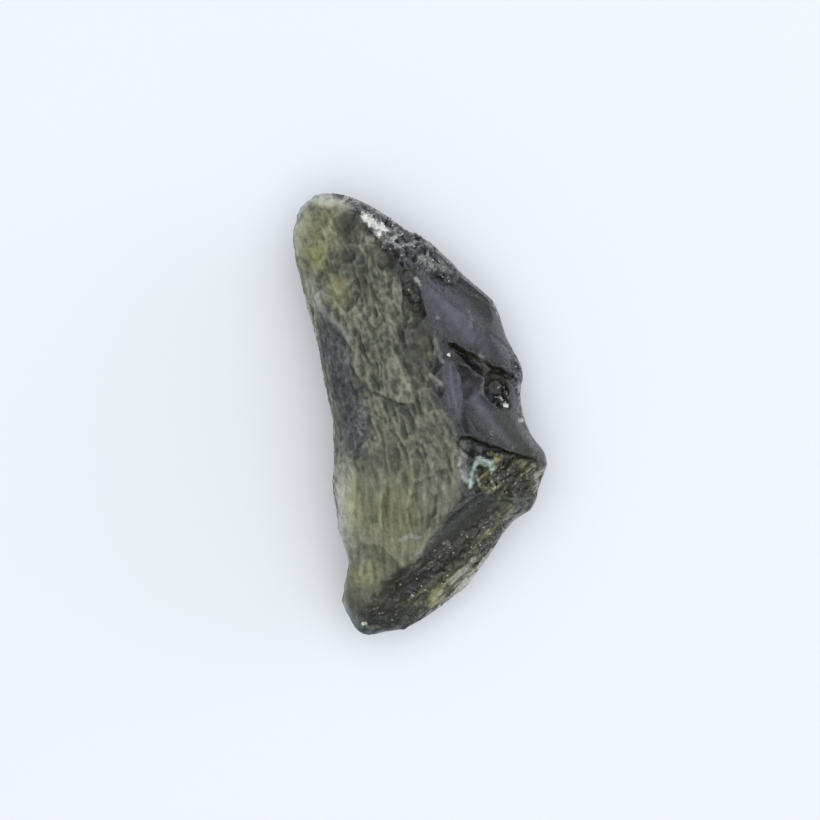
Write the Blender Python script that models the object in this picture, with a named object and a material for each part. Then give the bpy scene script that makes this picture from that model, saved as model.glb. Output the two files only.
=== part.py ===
"""One raw moldavite, a piece of natural green glass, lying on its flattest side.

The stone is half-moon shaped from above. +Y runs along its length to the rounded north lobe, +X
points to its bulging broken side, and +Z is up. The origin is the middle of its box, on the
surface that it rests on. It is carved the way the real one came about: a blank lofted from a few
long lines, etched pits in its skin, and then shell-shaped chips knocked out of the skin.
"""

import math

import bmesh
import bpy
from mathutils import Matrix, Vector, noise

MM = 0.001

# Driving dimensions, in millimetres
LENGTH = 30.0
WIDTH = 17.2
HEIGHT = 9.8

# The blank's resolution, the side of the even faces that the cut stone gets, the triangles that the
# finished stone keeps, and how readily the seen faces join, next to 1 for the underside, which is
# where a normal points below UNDER_NORMAL
RING_COUNT = 130
EVEN_FACE = 0.13
TRIANGLES_KEPT = 9900
UNDER_NORMAL = -0.3
SEEN_WEIGHT = 0.75

# The outline from above, as (y, x): the concave west side and the bulging east side, north first
WEST_RIM = [
    (15.0, -6.1), (14.8, -7.0), (14.3, -7.8), (13.5, -8.3), (12.2, -8.6), (10.9, -8.5),
    (8.3, -7.7), (5.3, -6.8), (1.7, -6.15), (-0.4, -5.6), (-2.6, -5.6), (-5.0, -5.7),
    (-7.7, -5.3), (-9.2, -4.8), (-9.8, -4.45), (-10.6, -4.8), (-12.6, -5.3), (-14.2, -4.6),
    (-14.8, -4.1), (-15.0, -3.5),
]
EAST_RIM = [
    (15.0, -6.1), (14.8, -4.9), (14.3, -3.65), (13.5, -2.25), (12.4, -0.75), (12.0, 0.35),
    (11.3, 1.2), (9.3, 3.1), (7.75, 5.0), (6.9, 5.4), (5.1, 5.95), (3.8, 6.7), (2.6, 7.05),
    (1.8, 6.8), (0.8, 6.85), (-0.4, 7.1), (-1.5, 7.6), (-2.5, 8.4), (-3.3, 8.6), (-4.9, 8.0),
    (-5.8, 7.85), (-6.5, 7.5), (-7.1, 6.4), (-9.5, 4.8), (-11.7, 3.25), (-13.7, 0.55),
    (-14.5, -0.95), (-14.7, -2.3), (-15.0, -3.5),
]
# The two long lines on top, as (y, x, z): the crest that parts the skin from the broken side,
# and the shoulder where the skin turns down to the west rim
CREST = [
    (15.0, -6.0, 4.2), (13.8, -4.6, 5.9), (12.5, -3.7, 6.8), (11.1, -2.4, 7.4), (9.4, -1.0, 8.2),
    (6.3, 0.5, 9.2), (2.7, 1.1, 9.7), (0.2, 2.0, 9.8), (-1.4, 2.5, 9.8), (-4.4, 2.7, 9.5),
    (-6.0, 2.4, 9.1), (-8.4, 0.7, 8.2), (-10.5, -1.3, 7.1), (-12.2, -2.9, 5.9), (-15.0, -3.6, 3.4),
]
SHOULDER = [
    (15.0, -6.3, 4.2), (12.5, -7.2, 5.9), (9.8, -6.9, 6.3), (6.1, -5.6, 7.2), (2.3, -4.1, 8.1),
    (-1.7, -3.6, 8.2), (-5.1, -4.5, 7.2), (-8.8, -4.3, 6.2), (-11.2, -4.1, 5.6), (-15.0, -3.6, 3.4),
]
# The heights of the rims and of the underside, as (y, z)
WEST_RIM_HEIGHT = [(15.0, 4.0), (9.0, 3.6), (0.0, 3.0), (-6.0, 4.2), (-10.0, 3.6), (-15.0, 3.2)]
EAST_RIM_HEIGHT = [(15.0, 4.0), (9.0, 3.6), (0.0, 3.4), (-3.3, 4.3), (-8.0, 3.2), (-15.0, 3.2)]
UNDERSIDE_HEIGHT = [(15.0, 2.4), (10.0, 0.7), (4.0, -0.3), (-5.0, -0.3), (-10.0, 0.6), (-15.0, 2.4)]

# How far along the width the underside's two edges lie, and its rounding towards both tips
UNDERSIDE_FROM, UNDERSIDE_TO = 0.30, 0.68
TIP_ROUNDING = 2.6

# How far each side of a ring bows outwards, as a share of its length, and how many points it has
BOWS = {
    "west flank": (0.17, 14),
    "skin": (0.035, 30),
    "broken side": (0.105, 30),
    "east underside": (0.20, 16),
    "underside": (0.03, 18),
    "west underside": (0.18, 14),
}

# The etched pits: how deep they are, the size of one across, along and through the stone, and the
# share of that depth that is left on the worn south half of the skin and on the broken side.
# Another whole number above zero as the pattern bends the pits in another way.
PIT_DEPTH = 0.24
PIT_SIZE = Vector((1.0, 2.3, 1.0))
SKIN_GRAIN_TILT = math.radians(16)
PIT_PATTERN = 11
WORN_SOUTH_OF, WORN_OVER = -2.5, 3.0
PITS_LEFT_WHERE_WORN = 0.45
PITS_LEFT_ON_BREAKS = 0.15
# A slow swell all over, and the crumpled parts of the broken side, as (x, y), radius and depth
SWELL_DEPTH = 0.22
SWELL_SIZE = 4.5
CRUMPLE_SIZE = 0.75
CRUMPLES = [((-0.2, 11.6), 3.0, 0.34), ((2.6, 10.0), 2.2, 0.26), ((5.0, -10.2), 2.6, 0.28),
            ((0.4, -12.6), 2.6, 0.24), ((6.4, -5.4), 2.0, 0.30)]

# How far a chip's face strays from its dish, and over what distance
WAVER_DEPTH = 0.20
WAVER_SIZE = 1.1

# The chips. Each is a dish: its middle as (x, y) seen from above, how long, wide and deep it is,
# the compass heading of its length in degrees, how its face leans east and north (0 faces straight
# up, 1 leans 45 degrees), and how steep its walls are, from 0 for a plate to 1 for half a ball.
CHIPS = {
    "north_face": ((2.9, 8.0), (9.4, 3.4, 0.45), 122, (0.85, 0.85), 0.10),
    "north_blade": ((3.2, 5.6), (9.0, 3.6, 0.50), 128, (0.70, 0.40), 0.10),
    "crest_valley": ((-0.7, 8.4), (4.8, 1.9, 0.50), 172, (0.10, 0.05), 0.30),
    "crest_oval": ((-0.2, 4.4), (4.2, 2.0, 0.35), 174, (0.10, 0.00), 0.25),
    "dark_trench": ((3.8, 3.75), (6.6, 1.3, 0.70), 117, (0.70, 0.10), 0.45),
    "crest_glint": ((1.2, 4.7), (2.4, 1.1, 0.25), 160, (0.55, 0.20), 0.30),
    "glint_blade": ((2.0, 1.8), (4.6, 1.7, 0.40), 165, (0.85, 0.10), 0.20),
    "pale_step": ((4.1, 2.3), (3.4, 1.0, 0.35), 165, (0.50, 0.20), 0.30),
    "deep_hollow": ((5.2, 1.5), (2.6, 2.0, 0.75), 135, (0.70, 0.20), 0.45),
    "middle_blade": ((5.1, -0.7), (7.0, 3.8, 0.55), 125, (0.65, 0.20), 0.12),
    "elbow_step": ((5.4, -2.6), (6.6, 1.4, 0.50), 104, (0.50, -0.10), 0.40),
    "elbow_hollow": ((5.2, -4.0), (6.0, 3.4, 0.75), 98, (0.45, -0.15), 0.30),
    "elbow_pit": ((4.2, -3.5), (2.2, 1.4, 0.35), 30, (0.30, -0.10), 0.50),
    "south_blade": ((2.1, -8.0), (10.0, 3.0, 0.50), 46, (0.60, -0.60), 0.10),
    "south_flank": ((0.9, -10.9), (9.0, 3.0, 0.50), 50, (0.55, -0.85), 0.12),
    "south_rim_chip": ((3.4, -10.4), (5.0, 1.5, 0.35), 48, (1.10, -1.00), 0.25),
    "north_rim_chip": ((0.2, 11.2), (4.6, 1.5, 0.30), 126, (0.60, 0.90), 0.25),
    "pale_chip": ((-2.9, 13.0), (1.4, 0.7, 0.22), 120, (0.60, 0.60), 0.50),
    "lobe_dimple_north": ((-5.4, 13.0), (2.6, 2.6, 0.16), 0, (0.00, 0.20), 0.15),
    "lobe_dimple_west": ((-7.0, 10.7), (2.6, 2.4, 0.12), 0, (-0.25, 0.00), 0.15),
    "lobe_dimple_east": ((-4.6, 10.5), (1.9, 1.7, 0.12), 0, (0.00, 0.00), 0.15),
    "lobe_dimple_south": ((-5.1, 8.5), (2.0, 1.7, 0.12), 20, (-0.10, 0.00), 0.15),
    "south_lobe_dimple": ((-3.7, -10.6), (2.4, 2.8, 0.10), 20, (-0.20, -0.05), 0.15),
}
# The same for the hidden side, seen from below through the stone
CHIPS_UNDER = {
    "under_north": ((-4.3, 8.6), (6.0, 4.6, 0.60), 160, (-0.10, 0.20), 0.15),
    "under_east": ((4.6, 1.5), (8.0, 3.0, 0.70), 170, (0.50, 0.00), 0.15),
    "under_elbow": ((5.6, -4.2), (4.0, 3.0, 0.60), 60, (0.50, -0.20), 0.20),
    "under_south": ((0.3, -10.6), (6.4, 3.6, 0.60), 40, (0.20, -0.30), 0.20),
}


def clear_scene():
    for obj in list(bpy.data.objects):
        bpy.data.objects.remove(obj, do_unlink=True)


def along(line, y):
    """Reads a line at y. A line is a list of (y, value, ...) from north to south."""
    for north, south in zip(line, line[1:]):
        if y >= south[0]:
            break
    share = min(max((north[0] - y) / (north[0] - south[0]), 0.0), 1.0)
    return [a + (b - a) * share for a, b in zip(north[1:], south[1:])]


def eased(line, y, reach=0.45):
    """Reads a line at y with its corners rounded, as the mean of a few places around y."""
    steps = (-1.0, -0.5, 0.0, 0.5, 1.0)
    tip = LENGTH / 2
    reach = min(reach, tip - abs(y))
    reads = [along(line, y + step * reach) for step in steps]
    return [sum(values) / len(steps) for values in zip(*reads)]


def bowed(start, end, bow, count):
    """Points from start towards end, without the end, bowed to the left of that way."""
    span = end - start
    side = Vector((-span.y, span.x)) * bow * 4
    return [start + span * t + side * t * (1 - t) for t in (i / count for i in range(count))]


def ring(y):
    """One cross-section of the blank, as (x, z) points that start at the west rim and go over the top."""
    west_x, east_x = along(WEST_RIM, y)[0], along(EAST_RIM, y)[0]
    crest = Vector(eased(CREST, y))
    shoulder = Vector(eased(SHOULDER, y, 1.2))
    west = Vector((west_x, eased(WEST_RIM_HEIGHT, y, 2.0)[0]))
    east = Vector((east_x, eased(EAST_RIM_HEIGHT, y, 1.0)[0]))
    under = eased(UNDERSIDE_HEIGHT, y, 2.0)[0]
    under_east = Vector((west_x + (east_x - west_x) * UNDERSIDE_TO, under))
    under_west = Vector((west_x + (east_x - west_x) * UNDERSIDE_FROM, under))
    corners = [west, shoulder, crest, east, under_east, under_west]
    points = []
    for i, (bow, count) in enumerate(BOWS.values()):
        points += bowed(corners[i], corners[(i + 1) % len(corners)], bow, count)
    # Towards a tip, every ring shrinks to its own middle, as a round nose does
    into = min((LENGTH / 2 - abs(y)) / TIP_ROUNDING, 1.0)
    nose = math.sqrt(1 - (1 - into) ** 2)
    middle = (west.y + east.y) / 2
    return [Vector((p.x, middle + (p.y - middle) * nose)) for p in points]


def blank_mesh():
    """The uncut stone: rings along its length, closed by a point at each tip."""
    bm = bmesh.new()
    rows = []
    for i in range(1, RING_COUNT):
        # Rings stand closer together towards the tips
        turn = math.pi * i / RING_COUNT
        even = 1 - 2 * i / RING_COUNT
        y = LENGTH / 2 * (0.35 * math.cos(turn) + 0.65 * even)
        rows.append([bm.verts.new((p.x, y, p.y)) for p in ring(y)])
    for row, after in zip(rows, rows[1:]):
        for i in range(len(row)):
            j = (i + 1) % len(row)
            bm.faces.new((row[i], row[j], after[j], after[i]))
    for row, y in ((rows[0], LENGTH / 2), (rows[-1], -LENGTH / 2)):
        middle = sum((v.co for v in row), Vector()) / len(row)
        tip = bm.verts.new((middle.x, y, middle.z))
        for i in range(len(row)):
            bm.faces.new((row[i], row[(i + 1) % len(row)], tip))
    bmesh.ops.recalc_face_normals(bm, faces=bm.faces)
    mesh = bpy.data.meshes.new("moldavite")
    bm.to_mesh(mesh)
    bm.free()
    return mesh


def pit_at(place):
    """How deep the etching is here, from 0 on a sharp crest between pits to 1 in a pit's middle."""
    turned = Matrix.Rotation(SKIN_GRAIN_TILT, 3, "Z") @ place
    cell = Vector(a / b for a, b in zip(turned, PIT_SIZE))
    bent = cell + 0.35 * noise.noise_vector(cell * 0.6)
    nearest = noise.voronoi(bent)[0][0]
    return max(0.0, 1 - 1.35 * nearest * nearest)


def pits_left(place, normal):
    """The share of the full pit depth here."""
    if normal.x > 0 and normal.z > 0 and place.x > along(CREST, place.y)[0]:
        return PITS_LEFT_ON_BREAKS
    worn = min(max((WORN_SOUTH_OF - place.y) / WORN_OVER, 0.0), 1.0)
    return 1.0 + (PITS_LEFT_WHERE_WORN - 1.0) * worn


def crumple_at(place):
    """How far the surface is pushed in or out here by the rough breaks."""
    depth = 0.0
    for middle, radius, most in CRUMPLES:
        away = (place.xy - Vector(middle)).length / radius
        depth = max(depth, most * max(0.0, 1.0 - away * away))
    return depth * noise.noise(place / CRUMPLE_SIZE) if depth else 0.0


def etch(mesh):
    """Pushes the skin in, along its normals, by the pits, the crumpled breaks and a slow swell.

    The rim and the tips, which make the outline, move less.
    """
    normals = [v.normal.copy() for v in mesh.vertices]
    for vertex, normal in zip(mesh.vertices, normals):
        place = vertex.co.copy()
        from_tip = min((LENGTH / 2 - abs(place.y)) / TIP_ROUNDING, 1.0)
        off_rim = from_tip * (0.25 + 0.75 * abs(normal.z))
        depth = PIT_DEPTH * pits_left(place, normal) * (pit_at(place) - 0.4)
        depth += SWELL_DEPTH * noise.noise(place / SWELL_SIZE)
        if normal.z > 0:
            depth += crumple_at(place)
        vertex.co -= normal * depth * off_rim
    mesh.update()


def chip_cutter(name, surface, side, middle, size, heading, lean, steepness):
    """The ellipsoid whose cap takes a chip out of a surface. side is 1 on top and -1 underneath."""
    length, width, depth = size
    above = Vector((*middle, side * 2 * HEIGHT))
    hit, spot, _, _ = surface.ray_cast(above, Vector((0, 0, -side)))
    if not hit:
        raise ValueError(f"{name} isn't over the stone")
    outwards = Vector((lean[0], lean[1], side)).normalized()
    lengthwise = Vector((math.sin(math.radians(heading)), math.cos(math.radians(heading)), 0))
    lengthwise = (lengthwise - outwards * lengthwise.dot(outwards)).normalized()
    sideways = outwards.cross(lengthwise)
    # A cap that is a share "steepness" of the ellipsoid's radius deep has this share of its width
    cap_share = math.sqrt(1 - (1 - steepness) ** 2)
    reach = depth / steepness
    half_widths = (length / 2 / cap_share, width / 2 / cap_share, reach)
    turned = Matrix((lengthwise, sideways, outwards)).transposed().to_4x4()
    centre = spot + outwards * (reach - depth)
    bm = bmesh.new()
    bmesh.ops.create_icosphere(bm, subdivisions=4, radius=1.0)
    bm.transform(Matrix.Translation(centre) @ turned @ Matrix.Diagonal((*half_widths, 1.0)))
    bm.normal_update()
    for vertex in bm.verts:
        waver = noise.noise(vertex.co / WAVER_SIZE)
        vertex.co += vertex.normal * WAVER_DEPTH * waver
    mesh = bpy.data.meshes.new("cutter_" + name)
    bm.to_mesh(mesh)
    bm.free()
    cutter = bpy.data.objects.new(mesh.name, mesh)
    cutter.hide_render = True
    cutter.display_type = "WIRE"
    bpy.context.scene.collection.objects.link(cutter)
    return cutter


def apply_modifiers(stone):
    """Makes the mesh what its modifiers make of it."""
    bpy.context.view_layer.update()
    graph = bpy.context.evaluated_depsgraph_get()
    mesh = bpy.data.meshes.new_from_object(stone.evaluated_get(graph))
    stone.modifiers.clear()
    stone.data = mesh


def knock_out_chips(stone):
    for side, chips in ((1, CHIPS), (-1, CHIPS_UNDER)):
        for name, chip in chips.items():
            cutter = chip_cutter(name, stone, side, *chip)
            cut = stone.modifiers.new(name, "BOOLEAN")
            cut.operation = "DIFFERENCE"
            cut.object = cutter
            apply_modifiers(stone)
            bpy.data.objects.remove(cutter, do_unlink=True)


def even_faces(stone):
    """Gives the surface one even grid of small faces, which also blunts the chips' thinnest slivers."""
    even = stone.modifiers.new("even", "REMESH")
    even.mode = "VOXEL"
    even.voxel_size = EVEN_FACE
    apply_modifiers(stone)


def thin_faces(stone):
    """Joins small faces where the surface is even, most of them on the underside."""
    mesh = stone.data
    mesh.calc_loop_triangles()
    under = stone.vertex_groups.new(name="under")
    for vertex in mesh.vertices:
        weight = 1.0 if vertex.normal.z < UNDER_NORMAL else SEEN_WEIGHT
        under.add([vertex.index], weight, "REPLACE")
    thin = stone.modifiers.new("thin", "DECIMATE")
    thin.ratio = TRIANGLES_KEPT / len(mesh.loop_triangles)
    thin.vertex_group = under.name
    apply_modifiers(stone)
    stone.vertex_groups.clear()


def settle(mesh):
    """Cuts the resting spot flat, then fits the stone to its driving dimensions in metres."""
    bm = bmesh.new()
    bm.from_mesh(mesh)
    everything = bm.verts[:] + bm.edges[:] + bm.faces[:]
    bmesh.ops.bisect_plane(
        bm, geom=everything, plane_co=(0, 0, 0), plane_no=(0, 0, -1), clear_outer=True
    )
    open_edges = [e for e in bm.edges if e.is_boundary]
    bmesh.ops.contextual_create(bm, geom=open_edges)
    low = Vector(min(v.co[i] for v in bm.verts) for i in range(3))
    high = Vector(max(v.co[i] for v in bm.verts) for i in range(3))
    wanted = Vector((WIDTH, LENGTH, HEIGHT)) * MM
    base = Vector(((low.x + high.x) / 2, (low.y + high.y) / 2, low.z))
    scales = [wanted[i] / (high[i] - low[i]) for i in range(3)]
    bmesh.ops.translate(bm, verts=bm.verts, vec=-base)
    bmesh.ops.scale(bm, verts=bm.verts, vec=scales)
    bm.to_mesh(mesh)
    bm.free()


def glass():
    material = bpy.data.materials.new("moldavite_glass")
    material.use_nodes = True
    shader = material.node_tree.nodes["Principled BSDF"]
    shader.inputs["Base Color"].default_value = (0.12, 0.14, 0.09, 1.0)
    shader.inputs["Roughness"].default_value = 0.35
    shader.inputs["Metallic"].default_value = 0.0
    shader.inputs["IOR"].default_value = 1.49
    return material


def main():
    clear_scene()
    noise.seed_set(PIT_PATTERN)
    mesh = blank_mesh()
    etch(mesh)
    stone = bpy.data.objects.new("moldavite", mesh)
    bpy.context.scene.collection.objects.link(stone)
    knock_out_chips(stone)
    even_faces(stone)
    thin_faces(stone)
    settle(stone.data)
    stone.data.materials.clear()
    stone.data.materials.append(glass())


main()
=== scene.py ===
# %% [markdown]
# # A raw moldavite, seen from straight above
#
# Moldavite is natural glass: drops of molten rock, thrown out by a meteorite, that were later
# etched by wet soil. This stone is a half moon of it. Its west and upper side still has the etched
# skin, all small lengthwise pits. Its east side is broken: large shell-shaped faces, which are
# glossy and let one look into the dark glass. This lesson takes the plain faceted solid of the
# stone, sculpts the fine surface into a copy of it, and gives it a skin and a body of glass.

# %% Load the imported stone
import math

import bmesh
import bpy
import numpy as np
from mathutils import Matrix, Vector, bvhtree, noise


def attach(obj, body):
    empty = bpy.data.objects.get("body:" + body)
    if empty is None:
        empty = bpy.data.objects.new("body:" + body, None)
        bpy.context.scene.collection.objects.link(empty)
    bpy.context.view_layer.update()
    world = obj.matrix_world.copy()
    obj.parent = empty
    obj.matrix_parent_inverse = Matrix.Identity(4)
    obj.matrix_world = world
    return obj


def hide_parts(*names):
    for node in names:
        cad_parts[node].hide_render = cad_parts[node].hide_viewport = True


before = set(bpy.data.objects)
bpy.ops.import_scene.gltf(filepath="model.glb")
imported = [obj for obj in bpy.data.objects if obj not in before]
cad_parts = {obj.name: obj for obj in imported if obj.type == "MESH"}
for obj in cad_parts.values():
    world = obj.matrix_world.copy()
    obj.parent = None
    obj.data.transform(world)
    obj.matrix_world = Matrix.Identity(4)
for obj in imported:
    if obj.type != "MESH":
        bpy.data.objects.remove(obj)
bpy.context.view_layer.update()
MM = 0.001
NOISE_PATTERN = 7
noise.seed_set(NOISE_PATTERN)

# %% [markdown]
# ## The studio
#
# The photograph looks straight down on a white table. Most of the light comes from overhead, so the
# stone has hardly any shadow at its foot. A soft light stands low on the right: it lights the broken
# faces, whose pale lilac sheen is partly a painted reflection in their colour, and leaves a faint
# shadow on the left. A long lens keeps the outline free of perspective, so the camera is far above a
# small field.

# %% Camera
FIELD_WIDTH = 55.5 * MM
FIELD_HEIGHT_ABOVE_TABLE = 4 * MM
FIELD_CENTRE = (-0.677 * MM, 0.305 * MM)
LENS_MM, SENSOR_MM = 100.0, 36.0

camera_data = bpy.data.cameras.new("camera")
camera_data.lens = LENS_MM
camera_data.sensor_width = SENSOR_MM
camera_data.clip_start = 0.01
camera = bpy.data.objects.new("camera", camera_data)
camera_distance = FIELD_WIDTH * LENS_MM / SENSOR_MM
camera.location = (*FIELD_CENTRE, FIELD_HEIGHT_ABOVE_TABLE + camera_distance)
bpy.context.scene.collection.objects.link(camera)
bpy.context.scene.camera = camera
print("camera stands", round(camera.location.z / MM), "mm above the table")

# %% Light
OVERHEAD_COLOUR = (0.955, 0.965, 0.975)
OVERHEAD_LIGHT, LOW_LIGHT_EAST, LOW_LIGHT_WEST = 2.02, 0.48, 0.34
SOFTBOX_COLOUR = (0.76, 0.77, 1.0)
SOFTBOX_WIDE, SOFTBOX_TALL = 0.28, 0.13
SOFTBOX_DISTANCE = 0.36
SOFTBOX_ELEVATION = math.radians(16)
SOFTBOX_HEADING = math.radians(14)
SOFTBOX_WATTS = 0.4

world = bpy.data.worlds.new("white_room")
world.use_nodes = True
bpy.context.scene.world = world
light = bpy.data.lights.new("softbox_right", "AREA")
light.shape = "RECTANGLE"
light.size, light.size_y = SOFTBOX_WIDE, SOFTBOX_TALL
light.energy = SOFTBOX_WATTS
light.color = SOFTBOX_COLOUR
softbox = bpy.data.objects.new("softbox_right", light)
flat = SOFTBOX_DISTANCE * math.cos(SOFTBOX_ELEVATION)
softbox.location = (flat * math.cos(SOFTBOX_HEADING), flat * math.sin(SOFTBOX_HEADING),
                    SOFTBOX_DISTANCE * math.sin(SOFTBOX_ELEVATION))
softbox.rotation_euler = softbox.location.to_track_quat("Z", "Y").to_euler()
bpy.context.scene.collection.objects.link(softbox)
bpy.context.scene.view_settings.view_transform = "Standard"

# %% [markdown]
# ## A way to write materials
#
# A material is a web of nodes. Written out node by node it is long and hard to read, so this small
# class wraps one socket. Adding or multiplying two of them adds the Math node that does it, and
# node() makes any other kind.

# %% Sockets that can be added and multiplied


class Wire:
    """The output socket of a node, with arithmetic that adds Math nodes."""

    def __init__(self, tree, socket=None):
        self.tree = tree
        self.socket = socket

    def plug(self, target, value):
        """Links a wire to a node's input, or sets the input to a plain value."""
        if isinstance(value, Wire):
            self.tree.links.new(value.socket, target)
        elif target.type == "RGBA" and len(value) == 3:
            target.default_value = (*value, 1.0)
        else:
            target.default_value = value

    def node(self, kind, settings=None, sockets=None, out=0):
        """Makes a node: its settings come first, then its sockets, by name or number."""
        made = self.tree.nodes.new(kind)
        for name, value in (settings or {}).items():
            if name == "ramp":
                fill_ramp(made.color_ramp, value)
            else:
                setattr(made, name, value)
        for name, value in (sockets or {}).items():
            self.plug(made.inputs[name], value)
        return Wire(self.tree, made.outputs[out]) if made.outputs else None

    def maths(self, operation, *values, clamp=False):
        settings = {"operation": operation, "use_clamp": clamp}
        return self.node("ShaderNodeMath", settings, dict(enumerate(values)))

    def __add__(self, other):
        return self.maths("ADD", self, other)

    __radd__ = __add__

    def __sub__(self, other):
        return self.maths("SUBTRACT", self, other)

    def __rsub__(self, other):
        return self.maths("SUBTRACT", other, self)

    def __mul__(self, other):
        return self.maths("MULTIPLY", self, other)

    __rmul__ = __mul__

    def axis(self, letter):
        return self.node("ShaderNodeSeparateXYZ", None, {0: self}, out=letter)

    def clamped(self):
        return self.maths("ADD", self, 0.0, clamp=True)

    def stretched(self, low, high):
        """0 at low, 1 at high, eased between them."""
        settings = {"interpolation_type": "SMOOTHSTEP"}
        return self.node("ShaderNodeMapRange", settings, {0: self, 1: low, 2: high})

    def tint(self, at_zero, at_one):
        """A colour that goes from one to the other as this wire goes from 0 to 1."""
        settings = {"data_type": "RGBA"}
        return self.node("ShaderNodeMix", settings, {0: self, 6: at_zero, 7: at_one}, out=2)


def fill_ramp(ramp, stops):
    """Sets a colour ramp to (place, colour) stops."""
    while len(ramp.elements) < len(stops):
        ramp.elements.new(1.0)
    for element, (place, colour) in zip(ramp.elements, stops):
        element.position = place
        element.color = (*colour, 1.0)


def new_material(name):
    """An empty material, and a wire to start from."""
    material = bpy.data.materials.new(name)
    material.use_nodes = True
    material.node_tree.nodes.clear()
    return material, Wire(material.node_tree)


print("node helper ready")

# %% [markdown]
# The room itself is a gradient over the directions of the world. It is bright overhead, dimmer
# towards the horizon, and dimmest in the west, which darkens the west flank of the stone, and
# painted shade in the flank's colour darkens it further.

# %% The room
DIM_WEST_OF, BRIGHT_EAST_OF = -0.8, 0.6
OVERHEAD_BEGINS = 0.5

world.node_tree.nodes.clear()
start = Wire(world.node_tree)
direction = start.node("ShaderNodeTexCoord", out="Generated")
eastward = direction.axis("X")
upward = direction.axis("Z")
east_share = eastward.stretched(DIM_WEST_OF, BRIGHT_EAST_OF)
low_light = LOW_LIGHT_WEST + (LOW_LIGHT_EAST - LOW_LIGHT_WEST) * east_share
overhead = upward.stretched(OVERHEAD_BEGINS, 1.0)
room = start.node("ShaderNodeBackground", None, {
    "Color": OVERHEAD_COLOUR,
    "Strength": low_light + (OVERHEAD_LIGHT - low_light) * overhead})
start.node("ShaderNodeOutputWorld", None, {"Surface": room})
print("room is brightest overhead:", OVERHEAD_LIGHT)

# %% [markdown]
# ## The table
#
# The stone lies on a plain white sheet. It is one large square, a little off white towards blue,
# with a very faint unevenness so that it isn't dead flat.

# %% The white sheet
TABLE_HALF_WIDTH = 0.8
TABLE_COLOUR = (0.815, 0.835, 0.885)
TABLE_COLOUR_DIM = (0.79, 0.812, 0.865)

bm = bmesh.new()
bmesh.ops.create_grid(bm, x_segments=2, y_segments=2, size=TABLE_HALF_WIDTH)
table_mesh = bpy.data.meshes.new("table")
bm.to_mesh(table_mesh)
bm.free()
table = bpy.data.objects.new("table", table_mesh)
bpy.context.scene.collection.objects.link(table)

material, start = new_material("white_sheet")
place = start.node("ShaderNodeTexCoord", out="Object")
cloud = start.node("ShaderNodeTexNoise", None, {"Vector": place, "Scale": 18.0, "Detail": 1.0})
paper = start.node("ShaderNodeBsdfPrincipled", None, {
    "Base Color": cloud.tint(TABLE_COLOUR_DIM, TABLE_COLOUR), "Roughness": 0.75,
    "Specular IOR Level": 0.2})
start.node("ShaderNodeOutputMaterial", None, {"Surface": paper})
table.data.materials.append(material)
print("table", 2 * TABLE_HALF_WIDTH, "m wide")

# %% [markdown]
# ## The body of the stone
#
# The solid from the CAD model has the right outline, ridge and chips, but its faces are half a
# millimetre wide, and a camera this close sees each one. So a copy of it is merged, given an even
# grid of small faces, and smoothed. Work is in millimetres here, because the remesher makes no
# face smaller than 0.0001 units, which in metres is too coarse. The copy returns to metres at the end.

# %% An even grid of small faces
MERGE_WITHIN = 0.001 * MM
FIRST_GRID = 0.11
SKIN_SMOOTHING = 16
BREAK_SMOOTHING = 6


def baked(piece):
    """Replaces a piece's mesh with what its modifiers make of it."""
    graph = bpy.context.evaluated_depsgraph_get()
    mesh = bpy.data.meshes.new_from_object(piece.evaluated_get(graph))
    piece.modifiers.clear()
    piece.data = mesh


def remeshed(piece, grid):
    """Gives a piece an even grid of faces."""
    even = piece.modifiers.new("even", "REMESH")
    even.mode = "VOXEL"
    even.voxel_size = grid
    baked(piece)


cad_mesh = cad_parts["moldavite"].data
bm = bmesh.new()
bm.from_mesh(cad_mesh)
bmesh.ops.remove_doubles(bm, verts=bm.verts, dist=MERGE_WITHIN)
bmesh.ops.scale(bm, verts=bm.verts, vec=(1 / MM,) * 3)
solid_bvh = bvhtree.BVHTree.FromBMesh(bm)
low = np.array([min(v.co[i] for v in bm.verts) for i in range(3)])
high = np.array([max(v.co[i] for v in bm.verts) for i in range(3)])
mesh = bpy.data.meshes.new("moldavite_skin_and_breaks")
bm.to_mesh(mesh)
bm.free()
stone = bpy.data.objects.new("moldavite_skin_and_breaks", mesh)
bpy.context.scene.collection.objects.link(stone)
remeshed(stone, FIRST_GRID)
print("first grid:", len(stone.data.vertices), "points")

# %% [markdown]
# ## Where the skin ends
#
# The crest is the line along the top that parts the etched skin from the breaks. Everything that
# follows asks on which side of it a point lies, so it is read once here. Arrays of numbers are
# quick for such questions, and noise, which has no array form here, is asked point by point.

# %% The crest and the two sides of it
# The crest's line, how far the border wanders, where it lies, and how broken the underside is
CREST_Y = [-15.0, -12.6, -11.2, -10.0, -9.3, -8.2, -6.9, -5.2, -4.0, -2.9, -1.4, -0.4, 0.2, 0.9,
           1.6, 2.6, 3.4, 4.6, 5.3, 6.0, 6.8, 7.6, 8.6, 9.4, 10.6, 11.6, 12.6, 13.6, 15.0]
CREST_X = [-4.4, -3.4, -2.4, -1.0, 0.0, 0.8, 1.6, 2.6, 2.85, 2.3, 2.35, 2.0, 1.6, 0.8,
           0.55, 0.65, 0.85, 0.9, 0.7, 0.25, -0.4, -0.95, -1.35, -1.9, -2.5, -3.0, -3.9, -4.5, -6.0]
BORDER_WANDER = 0.3
BORDER_FROM, BORDER_TO = -0.45, 0.4
UNDERSIDE_BROKEN = 0.35


def points_of(mesh, what="co"):
    """The points' places or, for "normal", the directions they face, in rows of three."""
    flat = np.empty(len(mesh.vertices) * 3)
    mesh.vertices.foreach_get(what, flat)
    return flat.reshape(-1, 3)


def put_points(mesh, points):
    mesh.vertices.foreach_set("co", points.ravel())
    mesh.update()


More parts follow.
